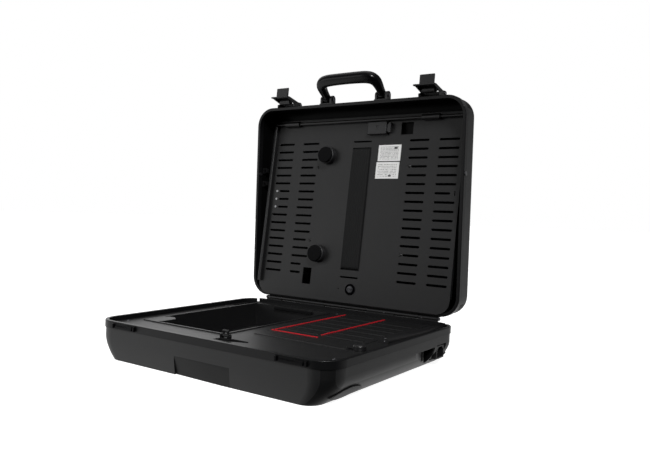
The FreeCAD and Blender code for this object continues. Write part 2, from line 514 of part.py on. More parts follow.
sx0, sx1 = STRAP_X - STRAP_W / 2, STRAP_X + STRAP_W / 2
strap = join([box(sx0, sx1, -2.0, 0, STRAP_LO - 1.5, STRAP_HI + 1.5),
              box(sx0, sx1, 0, 4.0, STRAP_LO - 1.5, STRAP_LO + 0.5),
              box(sx0, sx1, 0, 4.0, STRAP_HI - 0.5, STRAP_HI + 1.5),
              box(sx0, sx1, 2.0, 4.0, STRAP_LO - 14, STRAP_LO + 0.5),
              box(sx0, sx1, 2.0, 4.0, STRAP_HI - 0.5, STRAP_HI + 13)])
add("holding_strap", on_panel(strap))
add("label_upper", on_panel(box(44, 94, -0.3, 0, up_panel(358.5), up_panel(390.5))))
add("label_lower", on_panel(box(42, 93, -0.3, 0, up_panel(324.0), up_panel(356.5))))


def headed(x, v, head_r, shank_r, depth, tail_r=0.0):
    """Rivet or screw through the panel: a head in front, a shank, and a tail behind if it has one."""
    forms = [Part.makeCylinder(head_r, 1.2, V(x, -1.2, v), Y_AXIS)]
    forms.append(Part.makeCylinder(shank_r, depth, V(x, 0, v), Y_AXIS))
    if tail_r:
        forms.append(Part.makeCylinder(tail_r, 1.0, V(x, PANEL_T, v), Y_AXIS))
    return on_panel(join(forms))


add("panel_rivets", group([headed(-200, row_v(r), 2.4, 1.6, PANEL_T, 2.6) for r in RIVET_ROWS]))
add("panel_screws", group([headed(x, row_v(r), 3.0, 1.5, PANEL_T + 3) for x, r in SCREW_AT]))

# quarter-turn fastener through the panel, and the post that receives it
qt = join([Part.makeCylinder(11.0, 2.4, V(QT_X, -2.7, QT_V), Y_AXIS),
           Part.makeCylinder(5.0, 8.0, V(QT_X, -1.0, QT_V), Y_AXIS)])
qt = cut(qt, [box(QT_X - 8, QT_X + 8, -3, -1.2, QT_V - 1.1, QT_V + 1.1)])
tip = box(QT_X - 7.0, QT_X + 7.0, 5.0, 7.0, QT_V - 2.0, QT_V + 2.0)
add("quarter_turn_fastener", on_panel(qt.fuse(tip).removeSplitter()))
qt_world = on_panel(Part.Vertex(V(QT_X, 0, QT_V))).Point
post = rod_y(qt_world.y + 3.0, LID_BACK - WALL, QT_X, qt_world.z, 13.0)
hollow = on_panel(Part.makeCylinder(9.5, 14.0, V(QT_X, -2.0, QT_V), Y_AXIS))
flange = on_panel(Part.makeCylinder(14.0, 2.0, V(QT_X, PANEL_T, QT_V), Y_AXIS))
add("fastener_receptacle",
    join([flange, post.cut(on_panel(box(-20, 40, -30, PANEL_T + 0.5, QT_V - 30, QT_V + 30)))]).cut(hollow))


# ---- latches on the lid ---------------------------------------------------------------------------
def latch_base(cx):
    plate = join([box(cx - 22.2, cx + 22.2, 212, 231, LID_TOP, LID_TOP + 2),
                  box(cx - 22.2, cx + 22.2, 213, 231, LID_TOP - SET_IN, LID_TOP)])
    ear_form = [(202.5, LID_TOP + 0.4), (212, LID_TOP), (231, LID_TOP + 2), (229, 481), (226, 484.2),
                (217, 484.2), (202.5, 479)]
    ears = [prism_x(ear_form, x, x + 2.4) for x in (cx - 22.2, cx + 19.8)]
    return join([plate] + ears).cut(rod_x(cx - 30, cx + 30, LATCH_Y, LATCH_Z, 2.0))


def latch_lever(cx):
    """Lever reaching forward from its pin to a wide lip, with a thumb plate standing on the lip."""
    hub = rod_x(cx - 19.4, cx + 19.4, LATCH_Y, LATCH_Z, 4.4)
    barrel = rod_x(cx - 12.5, cx + 12.5, 203.0, 484.4, 6.2)
    web = prism_x([(200.0, 489.8), (186.5, 489.8), (189.0, 492.4), (206.0, 489.8), (208.5, 486.0)],
                  cx - 16.9, cx + 16.9)
    arm_form = [(180.8, 489.6), (180.8, 492.4), (190.0, 492.4), (227.5, 483.0), (228.0, 479.0),
                (219.0, 477.6), (205.0, 481.5)]
    arms = [prism_x(arm_form, x, x + 2.6) for x in (cx - 19.4, cx + 16.8)]
    braces = [rod_x(x, x + 4.5, 203.0, 484.4, 3.0) for x in (cx - 17.0, cx + 12.5)]
    flange = box(cx - 22.5, cx + 19.4, 180.8, 190.0, 489.6, 492.4)
    flange = fillet(flange, 1.0, lambda e: along(e, X_AXIS))
    plate = prism_x([(185.5, 491.0), (189.5, 491.0), (191.5, 509.0), (189.5, 510.6), (187.5, 509.6)],
                    cx - 12.5, cx + 16)
    lever = join([hub, web, barrel, flange, plate] + arms + braces)
    return lever.cut(rod_x(cx - 30, cx + 30, LATCH_Y, LATCH_Z, 2.0 + FIT))


def latch_pin(cx):
    ends = [rod_x(cx + s * 22.8 - 0.6, cx + s * 22.8 + 0.6, LATCH_Y, LATCH_Z, 3.2) for s in (-1, 1)]
    return join([rod_x(cx - 22.8, cx + 22.8, LATCH_Y, LATCH_Z, 2.0)] + ends)


for side, cx in (("left", -LATCH_X), ("right", LATCH_X)):
    add("latch_base_" + side, latch_base(cx))
    add("latch_lever_" + side, latch_lever(cx))
    add("latch_pin_" + side, latch_pin(cx))


# ---- carrying handle ------------------------------------------------------------------------------
def handle_bracket(cx):
    plate = join([box(cx - 15, cx + 15, 203, 226, LID_TOP, LID_TOP + 2),
                  box(cx - 15, cx + 15, 213, 226, LID_TOP - SET_IN, LID_TOP)])
    cheeks = []
    for x in (cx - 13.5, cx + 9.0):
        cheeks.append(join([box(x, x + 4.5, 203.5, 218.5, LID_TOP + 2, HANDLE_Z),
                            rod_x(x, x + 4.5, HANDLE_Y, HANDLE_Z, 7.5)]))
    body = join([plate] + cheeks)
    return body.cut(rod_x(cx - 20, cx + 20, HANDLE_Y, HANDLE_Z, 2.5))


def handle_grip():
    """Arched grip with an eye at each end, drawn upright."""
    outside = [(-72, 12), (-74, 30), (-71.5, 48), (-54, 55), (-22, 57), (22, 57), (54, 55), (71.5, 48),
               (74, 30), (72, 12)]
    inside = [(55.5, 12), (54, 18), (48, 31), (39, 35.5), (-39, 35.5), (-48, 31), (-54, 18), (-55.5, 12)]
    arch = prism_y([(x, HANDLE_Z + z) for x, z in outside + inside], HANDLE_Y - 8, HANDLE_Y + 8)
    arch = fillet(arch, 7.0, lambda e: along(e, Y_AXIS) and e.CenterOfMass.z > HANDLE_Z + 13
                  and abs(e.CenterOfMass.x) > 30)
    arch = fillet(arch, 5.8, lambda e: e.BoundBox.YLength < 0.1 and e.BoundBox.ZMax > HANDLE_Z + 12.1)
    bar = box(-46, 46, HANDLE_Y - 10, HANDLE_Y + 10, HANDLE_Z + 35.2, HANDLE_Z + 56.3)
    bar = fillet(bar, 8.0, lambda e: along(e, X_AXIS))
    arch = arch.fuse(bar)
    arch = join([arch] + [box(s * HANDLE_X - 7.8, s * HANDLE_X + 7.8, HANDLE_Y - 7.2, HANDLE_Y + 7.2,
                              HANDLE_Z, HANDLE_Z + 14) for s in (-1, 1)]
                + [rod_x(s * HANDLE_X - 7.8, s * HANDLE_X + 7.8, HANDLE_Y, HANDLE_Z, 7.2) for s in (-1, 1)])
    return arch.cut(rod_x(-90, 90, HANDLE_Y, HANDLE_Z, 2.5 + FIT))


grip = handle_grip()
grip.rotate(V(0, HANDLE_Y, HANDLE_Z), X_AXIS, HANDLE_LEAN)
add("handle_grip", grip)
add("handle_bracket_left", handle_bracket(-HANDLE_X))
add("handle_bracket_right", handle_bracket(HANDLE_X))
add("handle_pins", group([join([rod_x(s * HANDLE_X - 14, s * HANDLE_X + 14, HANDLE_Y, HANDLE_Z, 2.5)]
                               + [rod_x(s * HANDLE_X + t * 14.3 - 0.6, s * HANDLE_X + t * 14.3 + 0.6,
                                        HANDLE_Y, HANDLE_Z, 4.0)
                                  for t in (-1, 1)]) for s in (-1, 1)]))

# ---- export ---------------------------------------------------------------------------------------
os.makedirs("parts", exist_ok=True)
for name, shape in PARTS.items():
    if not shape.isValid():
        print("not valid:", name)
    shape.exportStep("parts/%s.step" % name)
print(len(PARTS), "parts")
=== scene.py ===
import json
import math

import bmesh
import bpy
from mathutils import Matrix, Vector


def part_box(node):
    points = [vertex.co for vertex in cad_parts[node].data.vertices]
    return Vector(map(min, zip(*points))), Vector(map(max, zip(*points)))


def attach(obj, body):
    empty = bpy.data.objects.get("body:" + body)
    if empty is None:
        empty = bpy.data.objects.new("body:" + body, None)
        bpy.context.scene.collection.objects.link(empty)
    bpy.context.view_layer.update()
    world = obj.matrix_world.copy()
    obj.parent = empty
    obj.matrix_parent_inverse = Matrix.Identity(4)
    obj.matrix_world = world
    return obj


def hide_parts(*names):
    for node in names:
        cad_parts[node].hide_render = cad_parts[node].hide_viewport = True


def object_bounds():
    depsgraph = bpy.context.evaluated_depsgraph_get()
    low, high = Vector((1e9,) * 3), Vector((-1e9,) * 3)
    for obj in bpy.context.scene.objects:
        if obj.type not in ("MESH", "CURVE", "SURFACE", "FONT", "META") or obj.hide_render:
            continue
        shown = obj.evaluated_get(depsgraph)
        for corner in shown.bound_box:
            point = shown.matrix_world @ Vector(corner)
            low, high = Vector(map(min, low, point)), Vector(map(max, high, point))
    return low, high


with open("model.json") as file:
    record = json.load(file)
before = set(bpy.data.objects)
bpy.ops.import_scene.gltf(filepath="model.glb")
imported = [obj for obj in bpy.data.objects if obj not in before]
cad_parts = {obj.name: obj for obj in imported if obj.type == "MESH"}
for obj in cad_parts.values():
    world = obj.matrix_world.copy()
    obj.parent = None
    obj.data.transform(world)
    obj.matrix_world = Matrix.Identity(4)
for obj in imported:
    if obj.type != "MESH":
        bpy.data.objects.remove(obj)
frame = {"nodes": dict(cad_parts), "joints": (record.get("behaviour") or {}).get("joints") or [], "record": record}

# Looks of the open equipment case.  Metres, +Z up, front of the case at -Y.
CAD_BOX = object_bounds()
NODES = frame["nodes"]
SLOT_OF = {p["node"]: p["material_slot"] for p in frame["record"]["subparts"]}
BODY_OF = {n: b for b, members in frame["record"]["behaviour"]["bodies"].items() for n in members}
JOINT = {j["name"]: j for j in frame["joints"]}
MM = 0.001
X, Y, Z = Vector((1, 0, 0)), Vector((0, 1, 0)), Vector((0, 0, 1))

# camera
CAMERA_AT = (0.7006, -0.8895, 0.2592)
CAMERA_ANGLES = (34.69, 1.32, 1.91)       # azimuth, elevation, roll in degrees
CAMERA_LENS = 36.34                       # mm, on a 36 mm wide film

# brightness of the room in reflections: from, to, brightness at each
SKY_SIDE = (0.34, 0.80, 1.0, 0.01)        # towards the camera's side
SKY_HEIGHT = (0.0, 0.35, 0.60, 0.28)      # above the horizon
FLOOR_SIDE = (0.05, 0.70, 0.95, 0.01)
FLOOR_GLOW = 0.92
RIGHT_SIDE = (0.0, 0.5, 1.0, 0.42)        # dimmer to the right of the case
FRONT_LEFT = (0.935, 0.985, 1.0, 0.25)    # and in a patch to its front left
BACK_LEFT = (0.935, 0.985, 1.0, 3.2)      # brighter in a patch behind and to its left
CAMERA_WAY = (0.62, -0.78)
FRONT_LEFT_WAY = (-0.8, -0.6)
BACK_LEFT_WAY = (-0.85, 0.53)

HANDLE_LEAN = math.radians(48.0)          # how far the handle droops forward at rest
HANDLE_EYE = 64                           # mm, from the middle of the case to each handle pin

PANEL_IN = Vector(JOINT["panel_fastener_turn"]["axis"])     # into the lid, square to the tilted panel
PANEL_UP = X.cross(PANEL_IN)
PANEL_AT = Vector(JOINT["panel_fastener_turn"]["pos_m"])


# ---- camera ---------------------------------------------------------------------------------------
def make_camera():
    """Low three-quarter view from the front right, with a slight roll."""
    azimuth, elevation, roll = (math.radians(a) for a in CAMERA_ANGLES)
    back = Vector((math.sin(azimuth) * math.cos(elevation), -math.cos(azimuth) * math.cos(elevation),
                   math.sin(elevation)))
    right = (-back).cross(Z).normalized()
    up = right.cross(-back)
    level_right, level_up = right.copy(), up.copy()
    right = math.cos(roll) * level_right + math.sin(roll) * level_up
    up = math.cos(roll) * level_up - math.sin(roll) * level_right
    data = bpy.data.cameras.new("camera")
    data.sensor_width = 36.0
    data.lens = CAMERA_LENS
    camera = bpy.data.objects.new("camera", data)
    turn = Matrix((right, up, back)).transposed().to_4x4()
    camera.matrix_world = Matrix.Translation(CAMERA_AT) @ turn
    bpy.context.scene.collection.objects.link(camera)
    bpy.context.scene.camera = camera


# ---- node helpers ---------------------------------------------------------------------------------
def node(tree, kind, **values):
    """A new node with inputs or settings given by name."""
    made = tree.nodes.new(kind)
    for key, value in values.items():
        if key in made.inputs:
            made.inputs[key].default_value = value
        else:
            setattr(made, key, value)
    return made


def ramp(tree, value, low, high, to_low, to_high):
    """Smooth step of a value between two levels."""
    made = node(tree, "ShaderNodeMapRange", interpolation_type="SMOOTHSTEP")
    levels = {"From Min": low, "From Max": high, "To Min": to_low, "To Max": to_high}
    for name, level in levels.items():
        made.inputs[name].default_value = level
    tree.links.new(value, made.inputs["Value"])
    return made.outputs["Result"]


def facing(tree, way, x, y):
    """How far a direction agrees, seen from above, with the level direction x, y:
    1 along it, -1 against it."""
    level = node(tree, "ShaderNodeVectorMath", operation="MULTIPLY")
    level.inputs[1].default_value = (1, 1, 0)
    unit = node(tree, "ShaderNodeVectorMath", operation="NORMALIZE")
    toward = node(tree, "ShaderNodeVectorMath", operation="DOT_PRODUCT")
    toward.inputs[1].default_value = (x, y, 0.0)
    tree.links.new(way, level.inputs[0])
    tree.links.new(level.outputs[0], unit.inputs[0])
    tree.links.new(unit.outputs[0], toward.inputs[0])
    return toward.outputs["Value"]


def camera_side(tree, way):
    """1 towards the camera's side of the room, -1 away from it."""
    return facing(tree, way, *CAMERA_WAY)


def maths(tree, operation, *values):
    """A maths node fed by sockets or plain numbers."""
    made = tree.nodes.new("ShaderNodeMath")
    made.operation = operation
    for i, value in enumerate(values):
        if isinstance(value, (int, float)):
            made.inputs[i].default_value = value
        else:
            tree.links.new(value, made.inputs[i])
    return made.outputs[0]


def within(tree, value, low, high):
    """1 between two levels, 0 outside them."""
    above = maths(tree, "GREATER_THAN", value, low)
    below = maths(tree, "LESS_THAN", value, high)
    return maths(tree, "MULTIPLY", above, below)


def seen_and_reflected(tree, seen, reflected):
    """One look for the camera's own rays, another in reflections and bounces."""
    path = node(tree, "ShaderNodeLightPath")
    mix = node(tree, "ShaderNodeMixShader")
    tree.links.new(path.outputs["Is Camera Ray"], mix.inputs[0])
    tree.links.new(reflected, mix.inputs[1])
    tree.links.new(seen, mix.inputs[2])
    return mix.outputs[0]


# ---- room -----------------------------------------------------------------------------------------
def make_world():
    """White studio; in reflections it is dim overhead and dark where the camera and its room stand."""
    world = bpy.data.worlds.new("studio")
    bpy.context.scene.world = world
    world.use_nodes = True
    tree = world.node_tree
    tree.nodes.clear()
    way = node(tree, "ShaderNodeTexCoord").outputs["Generated"]
    split = node(tree, "ShaderNodeSeparateXYZ")
    tree.links.new(way, split.inputs[0])
    lit = node(tree, "ShaderNodeBackground")
    seen = node(tree, "ShaderNodeBackground")
    for background in (lit, seen):
        background.inputs["Color"].default_value = (1, 1, 1, 1)
    side = ramp(tree, camera_side(tree, way), *SKY_SIDE)
    height = ramp(tree, split.outputs["Z"], *SKY_HEIGHT)
    level = maths(tree, "MULTIPLY", side, height)
    level = maths(tree, "MULTIPLY", level, ramp(tree, facing(tree, way, 1.0, 0.0), *RIGHT_SIDE))
    level = maths(tree, "MULTIPLY", level, ramp(tree, facing(tree, way, *FRONT_LEFT_WAY), *FRONT_LEFT))
    level = maths(tree, "MULTIPLY", level, ramp(tree, facing(tree, way, *BACK_LEFT_WAY), *BACK_LEFT))
    tree.links.new(level, lit.inputs["Strength"])
    out = node(tree, "ShaderNodeOutputWorld")
    tree.links.new(seen_and_reflected(tree, seen.outputs[0], lit.outputs[0]), out.inputs[0])


def make_floor():
    """Pale floor that melts into the white background."""
    bm = bmesh.new()
    bmesh.ops.create_circle(bm, cap_ends=True, segments=96, radius=14.0)
    mesh = bpy.data.meshes.new("floor")
    bm.to_mesh(mesh)
    bm.free()
    floor = bpy.data.objects.new("floor", mesh)
    floor.location.z = CAD_BOX[0].z
    bpy.context.scene.collection.objects.link(floor)
    mat = bpy.data.materials.new("floor_white")
    mat.use_nodes = True
    tree = mat.node_tree
    tree.nodes.clear()
    travel = node(tree, "ShaderNodeVectorMath", operation="SCALE")       # the way the ray was going
    travel.inputs["Scale"].default_value = -1.0
    tree.links.new(node(tree, "ShaderNodeNewGeometry").outputs["Incoming"], travel.inputs[0])
    near = node(tree, "ShaderNodeBsdfPrincipled", Roughness=0.8)
    near.inputs["Base Color"].default_value = (0.5, 0.5, 0.5, 1)
    near.inputs["Specular IOR Level"].default_value = 0.0
    near.inputs["Emission Color"].default_value = (1, 1, 1, 1)
    near.inputs["Emission Strength"].default_value = FLOOR_GLOW
    glow = node(tree, "ShaderNodeEmission")
    way = travel.outputs[0]
    level = maths(tree, "MULTIPLY", ramp(tree, camera_side(tree, way), *FLOOR_SIDE),
                  ramp(tree, facing(tree, way, 1.0, 0.0), *RIGHT_SIDE))
    tree.links.new(level, glow.inputs["Strength"])
    out = node(tree, "ShaderNodeOutputMaterial")
    tree.links.new(seen_and_reflected(tree, near.outputs[0], glow.outputs[0]), out.inputs[0])
    mesh.materials.append(mat)


def soft_box(name, at, aim, size, power):
    """Rectangular lamp at one place, aimed at another; power in watts."""
    data = bpy.data.lights.new(name, "AREA")
    data.shape = "RECTANGLE"
    data.size, data.size_y = size
    data.energy = power
    light = bpy.data.objects.new(name, data)
    light.location = at
    light.rotation_mode = "QUATERNION"
    light.rotation_quaternion = (Vector(aim) - Vector(at)).to_track_quat("-Z", "Y")
    bpy.context.scene.collection.objects.link(light)


def sun(name, travel, strength, spread):
    """Distant lamp whose light travels one way, spread in degrees."""
    data = bpy.data.lights.new(name, "SUN")
    data.energy = strength
    data.angle = math.radians(spread)
    light = bpy.data.objects.new(name, data)
    light.rotation_mode = "QUATERNION"
    light.rotation_quaternion = Vector(travel).to_track_quat("-Z", "Y")
    bpy.context.scene.collection.objects.link(light)


def make_lights():
    sun("key_light", (-0.50, 0.60, -0.62), 2.7, 14.0)
    soft_box("left_soft_box", (-1.9, -2.1, 1.0), (0.0, 0.0, 0.2), (1.6, 1.6), 10)
    soft_box("top_soft_box", (0.2, 0.3, 2.4), (0.0, 0.0, 0.2), (1.6, 1.2), 4)


# ---- materials ------------------------------------------------------------------------------------
def moulded(name, colour, roughness, grain=2200.0, depth=0.00004, blotch=0.12, specular=0.5,
            metallic=0.0, edge=0.0004, painted_shade_boxes=()):
    """Moulded, coated or rubbery surface: fine grain, softened edges, slow drift of tone and gloss.
    painted_shade_boxes are boxes (low corner, high corner, share) within which painted shade makes the colour
    darker and the finish flatter."""
    mat = bpy.data.materials.new(name)
    mat.use_nodes = True
    tree = mat.node_tree
    shader = tree.nodes["Principled BSDF"]
    shader.inputs["Specular IOR Level"].default_value = specular
    shader.inputs["Metallic"].default_value = metallic
    where = node(tree, "ShaderNodeTexCoord")
    slow = node(tree, "ShaderNodeTexNoise", Scale=9.0, Detail=4.0, Roughness=0.6)
    fine = node(tree, "ShaderNodeTexNoise", Scale=grain, Detail=2.0, Roughness=0.55)
    for noise in (slow, fine):
        tree.links.new(where.outputs["Object"], noise.inputs["Vector"])
    tone = node(tree, "ShaderNodeMix", data_type="RGBA")
    tone.inputs[6].default_value = (*[c * (1 - blotch) for c in colour], 1)
    tone.inputs[7].default_value = (*[c * (1 + blotch) for c in colour], 1)
    tree.links.new(slow.outputs["Fac"], tone.inputs[0])
    tree.links.new(tone.outputs[2], shader.inputs["Base Color"])
    gloss = node(tree, "ShaderNodeMapRange")
    gloss.inputs["To Min"].default_value = roughness * 0.88
    gloss.inputs["To Max"].default_value = min(1.0, roughness * 1.12)
    tree.links.new(slow.outputs["Fac"], gloss.inputs["Value"])
    tree.links.new(gloss.outputs["Result"], shader.inputs["Roughness"])
    # painted shade: within each box the colour is mixed towards a fifth of itself and the specular level drops by
    # the box's share
    if painted_shade_boxes:
        inside = None
        place = node(tree, "ShaderNodeSeparateXYZ")
        tree.links.new(where.outputs["Object"], place.inputs[0])
        for low, high, share in painted_shade_boxes:
            mask = share
            for axis, a, b in zip(place.outputs, low, high):
                mask = maths(tree, "MULTIPLY", within(tree, axis, a, b), mask)
            inside = mask if inside is None else maths(tree, "MAXIMUM", inside, mask)
        tree.links.new(maths(tree, "MULTIPLY", maths(tree, "SUBTRACT", 1.0, inside), specular),
                       shader.inputs["Specular IOR Level"])
        shade = node(tree, "ShaderNodeMix", data_type="RGBA")
        shade.inputs[7].default_value = (*[c * 0.2 for c in colour], 1)
        tree.links.new(inside, shade.inputs[0])
        tree.links.new(tone.outputs[2], shade.inputs[6])
        tree.links.new(shade.outputs[2], shader.inputs["Base Color"])
    bump = node(tree, "ShaderNodeBump", Strength=0.5, Distance=depth)
    tree.links.new(fine.outputs["Fac"], bump.inputs["Height"])
    if edge:
        soft = node(tree, "ShaderNodeBevel", samples=4)
        soft.inputs["Radius"].default_value = edge
        tree.links.new(soft.outputs["Normal"], bump.inputs["Normal"])
    tree.links.new(bump.outputs["Normal"], shader.inputs["Normal"])
    return mat


# painted shade boxes: the lid's interior, the base's interior, and the shallow relief on the front wall, all made
# darker in colour and in reflection
LID_PAINTED_SHADE = ((-0.2355, 0.2005, 0.0775), (0.2355, 0.2520, 0.4685), 0.85)
BASE_PAINTED_SHADE = ((-0.2340, -0.1940, 0.0025), (0.2340, 0.1940, 0.0640), 0.50)
RELIEF_PAINTED_SHADE = ((-0.0499, -0.2000, -0.0010), (0.0640, -0.1900, 0.0290), 0.45)
MATERIALS = {
    # partly painted shade: the catches are black plastic, made darker and less reflective than the other latch
    # plastic to stand for the shade under the latch levers
    "catch_plastic": moulded("catch_plastic_painted_shade", (0.0020, 0.0020, 0.0024), 0.34, specular=0.10),
    "fastener_metal": moulded("dull_fastener_metal", (0.07, 0.07, 0.075), 0.38, metallic=1.0,
                              edge=0.0002),
    "fastener_black": moulded("black_fastener_ring", (0.0015, 0.0015, 0.0018), 0.30, depth=0.00001,
                              specular=0.0),
    # the case plastic carries painted shade in the lid, in the base and on the front-wall relief
    "case_plastic": moulded("textured_case_plastic", (0.0070, 0.0072, 0.0075), 0.46, depth=0.00009,
                            painted_shade_boxes=(LID_PAINTED_SHADE, BASE_PAINTED_SHADE, RELIEF_PAINTED_SHADE)),
    "rim_plastic": moulded("satin_rim_plastic", (0.0045, 0.0046, 0.0050), 0.36, depth=0.00003,
                           specular=0.24),
    "deck_plastic": moulded("matte_deck_plastic", (0.0060, 0.0060, 0.0064), 0.42),
    "panel_metal": moulded("powder_coated_panel", (0.0055, 0.0055, 0.0059), 0.48, grain=1500.0,
                           depth=0.00008),
    "rod_metal": moulded("satin_black_rod", (0.0060, 0.0060, 0.0064), 0.4),
    "latch_plastic": moulded("satin_latch_plastic", (0.0060, 0.0060, 0.0066), 0.40),
    "handle_gloss": moulded("glossy_handle_plastic", (0.0025, 0.0025, 0.0030), 0.24, depth=0.00001,
                            specular=0.22),
    "hinge_black": moulded("black_hinge_metal", (0.0065, 0.0065, 0.0070), 0.38, edge=0.0002),
    "steel": moulded("dark_zinc_steel", (0.16, 0.16, 0.17), 0.34, metallic=1.0, edge=0.0002),
    "bright_rivet": moulded("bright_rivet_metal", (0.30, 0.30, 0.31), 0.34, metallic=1.0, edge=0.0002),
    "red_line": moulded("red_guide_plastic", (0.55, 0.010, 0.02), 0.4, edge=0.0),
    "webbing": moulded("black_webbing", (0.0040, 0.0042, 0.0044), 0.75, specular=0.3, edge=0.0),
    "foam": moulded("black_foam", (0.0040, 0.0040, 0.0044), 0.95, grain=1200.0, depth=0.0003,
                    specular=0.1, edge=0.0),
    "bumper_rubber": moulded("black_bumper_rubber", (0.010, 0.010, 0.011), 0.55),
    "feet_rubber": moulded("black_feet_rubber", (0.007, 0.007, 0.0075), 0.6),
    "label_white": moulded("printed_label", (0.78, 0.78, 0.76), 0.5, edge=0.0),
    "box_grey": moulded("dark_grey_box_plastic", (0.011, 0.011, 0.012), 0.42),
    "supply_metal": moulded("black_supply_metal", (0.03, 0.03, 0.033), 0.4, metallic=0.6),
}


def printed_label(name, rows, fill, mark):
    """White label with rows of plain grey dashes and one dark mark; no lettering."""
    mat = moulded(name, (0.80, 0.80, 0.79), 0.5, edge=0.0)
    tree = mat.node_tree
    shader = tree.nodes["Principled BSDF"]
    paper = shader.inputs["Base Color"].links[0].from_socket
    split = node(tree, "ShaderNodeSeparateXYZ")
    tree.links.new(node(tree, "ShaderNodeTexCoord").outputs["Generated"], split.inputs[0])
    across, up = split.outputs["X"], split.outputs["Z"]
    scaled = maths(tree, "MULTIPLY", up, float(rows))
    band = within(tree, maths(tree, "FRACT", scaled), 0.30, 0.66)
    words = node(tree, "ShaderNodeTexNoise", noise_dimensions="2D", Scale=1.0, Detail=1.0)
    spot = node(tree, "ShaderNodeCombineXYZ")
    tree.links.new(maths(tree, "MULTIPLY", across, 34.0), spot.inputs[0])
    tree.links.new(maths(tree, "MULTIPLY", maths(tree, "FLOOR", scaled), 3.7), spot.inputs[1])
    tree.links.new(spot.outputs[0], words.inputs["Vector"])
    dashes = maths(tree, "MULTIPLY", band, maths(tree, "GREATER_THAN", words.outputs["Fac"], fill))
    dashes = maths(tree, "MULTIPLY", dashes, within(tree, across, 0.09, 0.90))
    dashes = maths(tree, "MULTIPLY", dashes, within(tree, up, 0.08, 0.92))
    x0, x1, z0, z1 = mark
    stamp = maths(tree, "MULTIPLY", within(tree, across, x0, x1), within(tree, up, z0, z1))
    ink = node(tree, "ShaderNodeMix", data_type="RGBA")
    ink.inputs[7].default_value = (0.16, 0.16, 0.16, 1)
    tree.links.new(maths(tree, "MULTIPLY", dashes, 0.85), ink.inputs[0])
    tree.links.new(paper, ink.inputs[6])
    dark = node(tree, "ShaderNodeMix", data_type="RGBA")
    dark.inputs[7].default_value = (0.03, 0.03, 0.03, 1)
    tree.links.new(stamp, dark.inputs[0])
    tree.links.new(ink.outputs[2], dark.inputs[6])
    tree.links.new(dark.outputs[2], shader.inputs["Base Color"])
    return mat


# the catches get the plastic with painted shade
LOOKS = {"latch_catch_left": "catch_plastic", "latch_catch_right": "catch_plastic"}   # unlike their slot
# each label: rows of dashes, how little they fill, and the dark mark's place (left, right, low, high)
LABELS = {
    "label_upper": (12, 0.40, (0.70, 0.84, 0.74, 0.86)),
    "label_lower": (10, 0.46, (0.56, 0.68, 0.12, 0.22)),
}


def dress_cad():
    """Give every CAD node the material of its slot, and the labels their printing."""
    for name, obj in NODES.items():
        obj.data.materials.clear()
        obj.data.materials.append(MATERIALS[LOOKS.get(name, SLOT_OF[name])])
    for name, look in LABELS.items():
        NODES[name].data.materials[0] = printed_label("printed_" + name, *look)


# ---- shapes ---------------------------------------------------------------------------------------
def piece(name, verts, faces, body, slot, stands_for=(), angle=40.0, materials=()):
    """A new piece riding on a CAD body and standing for some of its nodes."""
    mesh = bpy.data.meshes.new(name)
    mesh.from_pydata([tuple(v) for v in verts], [], faces)
    bm = bmesh.new()
    bm.from_mesh(mesh)
    bmesh.ops.remove_doubles(bm, verts=bm.verts, dist=1e-7)
    bmesh.ops.recalc_face_normals(bm, faces=bm.faces)
    bm.to_mesh(mesh)
    bm.free()
    mesh.shade_smooth()
    mesh.set_sharp_from_angle(angle=math.radians(angle))
    obj = bpy.data.objects.new(name, mesh)
    bpy.context.scene.collection.objects.link(obj)
    for material in materials or (MATERIALS[slot],):
        mesh.materials.append(material)
    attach(obj, body)
    if stands_for:
        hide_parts(*stands_for)
    return obj


def islands(name):
    """The separate solids of a CAD node, each as its list of corners."""
    mesh = NODES[name].data
    bm = bmesh.new()
    bm.from_mesh(mesh)
    bmesh.ops.remove_doubles(bm, verts=bm.verts, dist=1e-6)
    left, groups = set(bm.verts), []
    while left:
        todo, found = [left.pop()], []
        while todo:
            v = todo.pop()
            found.append(v.co.copy())
            for e in v.link_edges:
                other = e.other_vert(v)
                if other in left:
                    left.discard(other)
                    todo.append(other)
        groups.append(found)
    bm.free()
    return sorted(groups, key=lambda g: tuple(round(c, 4) for c in sum(g, Vector()) / len(g)))


def frame_of(axis):
    """Two directions square to an axis."""
    side = Z.cross(axis) if abs(axis.z) < 0.9 else X.copy()
    side.normalize()
    return side, axis.cross(side)


def span(points, axis):
    """Least and greatest reach of points along an axis."""
    values = [p.dot(axis) for p in points]
    return min(values), max(values)


def ring_grid(rings, height, centre, axis, count):
    """Round cap: rings of radii, each point raised along the axis by height(x, y)."""
    side, other = frame_of(axis)
    verts, faces = [centre + height(0.0, 0.0) * axis], []
    for r in rings:
        for k in range(count):
            a = 2 * math.pi * k / count
            x, y = r * math.cos(a), r * math.sin(a)
            verts.append(centre + x * side + y * other + height(x, y) * axis)
    for k in range(count):
        faces.append((0, 1 + k, 1 + (k + 1) % count))
    for i in range(len(rings) - 1):
        for k in range(count):
            a, b = 1 + i * count + k, 1 + i * count + (k + 1) % count
            faces.append((a, a + count, b + count, b))
    last = 1 + (len(rings) - 1) * count
    faces.append(tuple(last + k for k in range(count)))
    return verts, faces


def merge(parts):
    """Several (corners, faces) as one."""
    verts, faces = [], []
    for v, f in parts:
        faces += [tuple(i + len(verts) for i in face) for face in f]
        verts += v
    return verts, faces


